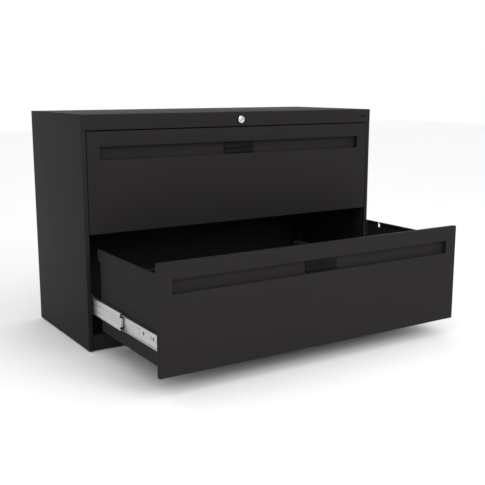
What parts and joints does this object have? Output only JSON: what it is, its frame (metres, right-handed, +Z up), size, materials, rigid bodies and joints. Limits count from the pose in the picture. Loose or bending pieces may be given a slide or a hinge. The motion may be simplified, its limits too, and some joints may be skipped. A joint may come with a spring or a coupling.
{
  "type": "lateral filing cabinet",
  "caption": "Low, wide steel filing cabinet with stacked full-width drawers on ball-bearing slides, recessed pulls and a lock in the top rail.",
  "frame": {"origin": "on the floor, halfway across the cabinet, under the front plane of the case; with the lower drawer open this is the centre of the footprint", "axes": "+X to the cabinet's right seen from the front, +Y towards its back, +Z up"},
  "size_m": [1.067, 0.876, 0.699],
  "materials": {
    "powder_coat": "fine satin charcoal powder coat on folded steel sheet",
    "zinc_plate": "bright zinc plate on rolled steel",
    "nickel": "satin nickel plate",
    "black_plastic": "fine matt moulded plastic",
    "bare_steel": "hot-rolled plate"
  },
  "bodies": {
    "case": {"side_panel_left": "powder_coat", "side_panel_right": "powder_coat", "top_panel": "powder_coat", "back_panel": "powder_coat", "base_pan": "powder_coat", "upright_front_left": "powder_coat", "upright_front_right": "powder_coat", "upright_rear_left": "powder_coat", "upright_rear_right": "powder_coat", "counterweight": "bare_steel", "header_liner": "powder_coat", "lock_bezel": "black_plastic", "lock_barrel": "nickel", "lower_slide_outer_left": "zinc_plate", "lower_slide_outer_right": "zinc_plate", "upper_slide_outer_left": "zinc_plate", "upper_slide_outer_right": "zinc_plate"},
    "lower_drawer": {"lower_drawer_front": "powder_coat", "lower_pull_channel": "powder_coat", "lower_label_holder": "black_plastic", "lower_front_liner": "powder_coat", "lower_drawer_side_left": "powder_coat", "lower_drawer_side_right": "powder_coat", "lower_drawer_bottom": "powder_coat", "lower_drawer_back": "powder_coat", "lower_slide_inner_left": "zinc_plate", "lower_slide_inner_right": "zinc_plate"},
    "lower_divider": {"lower_divider": "powder_coat"},
    "lower_slide_middle_left": {"lower_slide_middle_left": "zinc_plate"},
    "lower_cage_outer_left": {"lower_cage_outer_left": "zinc_plate"},
    "lower_cage_inner_left": {"lower_cage_inner_left": "zinc_plate"},
    "lower_slide_middle_right": {"lower_slide_middle_right": "zinc_plate"},
    "lower_cage_outer_right": {"lower_cage_outer_right": "zinc_plate"},
    "lower_cage_inner_right": {"lower_cage_inner_right": "zinc_plate"},
    "upper_drawer": {"upper_drawer_front": "powder_coat", "upper_pull_channel": "powder_coat", "upper_label_holder": "black_plastic", "upper_front_liner": "powder_coat", "upper_drawer_side_left": "powder_coat", "upper_drawer_side_right": "powder_coat", "upper_drawer_bottom": "powder_coat", "upper_drawer_back": "powder_coat", "upper_slide_inner_left": "zinc_plate", "upper_slide_inner_right": "zinc_plate"},
    "upper_divider": {"upper_divider": "powder_coat"},
    "upper_slide_middle_left": {"upper_slide_middle_left": "zinc_plate"},
    "upper_cage_outer_left": {"upper_cage_outer_left": "zinc_plate"},
    "upper_cage_inner_left": {"upper_cage_inner_left": "zinc_plate"},
    "upper_slide_middle_right": {"upper_slide_middle_right": "zinc_plate"},
    "upper_cage_outer_right": {"upper_cage_outer_right": "zinc_plate"},
    "upper_cage_inner_right": {"upper_cage_inner_right": "zinc_plate"},
    "lock_plug": {"lock_plug": "nickel", "lock_cam": "zinc_plate"},
    "lock_bar": {"lock_bar": "zinc_plate"},
    "interlock_rod": {"interlock_rod": "zinc_plate"},
    "glide_front_left": {"glide_front_left": "black_plastic"},
    "glide_front_right": {"glide_front_right": "black_plastic"},
    "glide_rear_left": {"glide_rear_left": "black_plastic"},
    "glide_rear_right": {"glide_rear_right": "black_plastic"}
  },
  "joints": [
    {"name": "lower_drawer_slide", "type": "slide", "parent": "case", "child": "lower_drawer", "axis": [0, -1, 0], "range_m": [-0.438, 0]},
    {"name": "lower_divider_shift", "type": "slide", "parent": "lower_drawer", "child": "lower_divider", "axis": [1, 0, 0], "range_m": [-0.58, 0.38]},
    {"name": "lower_slide_middle_left_travel", "type": "slide", "parent": "case", "child": "lower_slide_middle_left", "axis": [0, -1, 0], "range_m": [-0.219, 0]},
    {"name": "lower_cage_outer_left_travel", "type": "slide", "parent": "case", "child": "lower_cage_outer_left", "axis": [0, -1, 0], "range_m": [-0.1095, 0]},
    {"name": "lower_cage_inner_left_travel", "type": "slide", "parent": "case", "child": "lower_cage_inner_left", "axis": [0, -1, 0], "range_m": [-0.3285, 0]},
    {"name": "lower_slide_middle_right_travel", "type": "slide", "parent": "case", "child": "lower_slide_middle_right", "axis": [0, -1, 0], "range_m": [-0.219, 0]},
    {"name": "lower_cage_outer_right_travel", "type": "slide", "parent": "case", "child": "lower_cage_outer_right", "axis": [0, -1, 0], "range_m": [-0.1095, 0]},
    {"name": "lower_cage_inner_right_travel", "type": "slide", "parent": "case", "child": "lower_cage_inner_right", "axis": [0, -1, 0], "range_m": [-0.3285, 0]},
    {"name": "upper_drawer_slide", "type": "slide", "parent": "case", "child": "upper_drawer", "axis": [0, -1, 0], "range_m": [0, 0.438]},
    {"name": "upper_divider_shift", "type": "slide", "parent": "upper_drawer", "child": "upper_divider", "axis": [1, 0, 0], "range_m": [-0.58, 0.38]},
    {"name": "upper_slide_middle_left_travel", "type": "slide", "parent": "case", "child": "upper_slide_middle_left", "axis": [0, -1, 0], "range_m": [0, 0.219]},
    {"name": "upper_cage_outer_left_travel", "type": "slide", "parent": "case", "child": "upper_cage_outer_left", "axis": [0, -1, 0], "range_m": [0, 0.1095]},
    {"name": "upper_cage_inner_left_travel", "type": "slide", "parent": "case", "child": "upper_cage_inner_left", "axis": [0, -1, 0], "range_m": [0, 0.3285]},
    {"name": "upper_slide_middle_right_travel", "type": "slide", "parent": "case", "child": "upper_slide_middle_right", "axis": [0, -1, 0], "range_m": [0, 0.219]},
    {"name": "upper_cage_outer_right_travel", "type": "slide", "parent": "case", "child": "upper_cage_outer_right", "axis": [0, -1, 0], "range_m": [0, 0.1095]},
    {"name": "upper_cage_inner_right_travel", "type": "slide", "parent": "case", "child": "upper_cage_inner_right", "axis": [0, -1, 0], "range_m": [0, 0.3285]},
    {"name": "lock_turn", "type": "hinge", "parent": "case", "child": "lock_plug", "pos_m": [0, 0, 0.6745], "axis": [0, 1, 0], "range_deg": [0, 90]},
    {"name": "lock_bar_travel", "type": "slide", "parent": "case", "child": "lock_bar", "axis": [1, 0, 0], "range_m": [0, 0.00801]},
    {"name": "interlock_rod_travel", "type": "slide", "parent": "case", "child": "interlock_rod", "axis": [0, 0, -1], "range_m": [0, 0.00801]},
    {"name": "glide_front_left_turn", "type": "hinge", "parent": "case", "child": "glide_front_left", "pos_m": [-0.4845, 0.036, 0.01], "axis": [0, 0, 1], "continuous": true},
    {"name": "glide_front_right_turn", "type": "hinge", "parent": "case", "child": "glide_front_right", "pos_m": [0.4845, 0.036, 0.01], "axis": [0, 0, 1], "continuous": true},
    {"name": "glide_rear_left_turn", "type": "hinge", "parent": "case", "child": "glide_rear_left", "pos_m": [-0.4845, 0.402, 0.01], "axis": [0, 0, 1], "continuous": true},
    {"name": "glide_rear_right_turn", "type": "hinge", "parent": "case", "child": "glide_rear_right", "pos_m": [0.4845, 0.402, 0.01], "axis": [0, 0, 1], "continuous": true}
  ],
  "couplings": [
    {"joint": "lower_slide_middle_left_travel", "follows": "lower_drawer_slide", "ratio": 0.5},
    {"joint": "lower_cage_outer_left_travel", "follows": "lower_drawer_slide", "ratio": 0.25},
    {"joint": "lower_cage_inner_left_travel", "follows": "lower_drawer_slide", "ratio": 0.75},
    {"joint": "lower_slide_middle_right_travel", "follows": "lower_drawer_slide", "ratio": 0.5},
    {"joint": "lower_cage_outer_right_travel", "follows": "lower_drawer_slide", "ratio": 0.25},
    {"joint": "lower_cage_inner_right_travel", "follows": "lower_drawer_slide", "ratio": 0.75},
    {"joint": "upper_slide_middle_left_travel", "follows": "upper_drawer_slide", "ratio": 0.5},
    {"joint": "upper_cage_outer_left_travel", "follows": "upper_drawer_slide", "ratio": 0.25},
    {"joint": "upper_cage_inner_left_travel", "follows": "upper_drawer_slide", "ratio": 0.75},
    {"joint": "upper_slide_middle_right_travel", "follows": "upper_drawer_slide", "ratio": 0.5},
    {"joint": "upper_cage_outer_right_travel", "follows": "upper_drawer_slide", "ratio": 0.25},
    {"joint": "upper_cage_inner_right_travel", "follows": "upper_drawer_slide", "ratio": 0.75},
    {"joint": "lock_bar_travel", "follows": "lock_turn", "m_per_rad": 0.0050958},
    {"joint": "interlock_rod_travel", "follows": "lock_turn", "m_per_rad": 0.0050958}
  ]
}
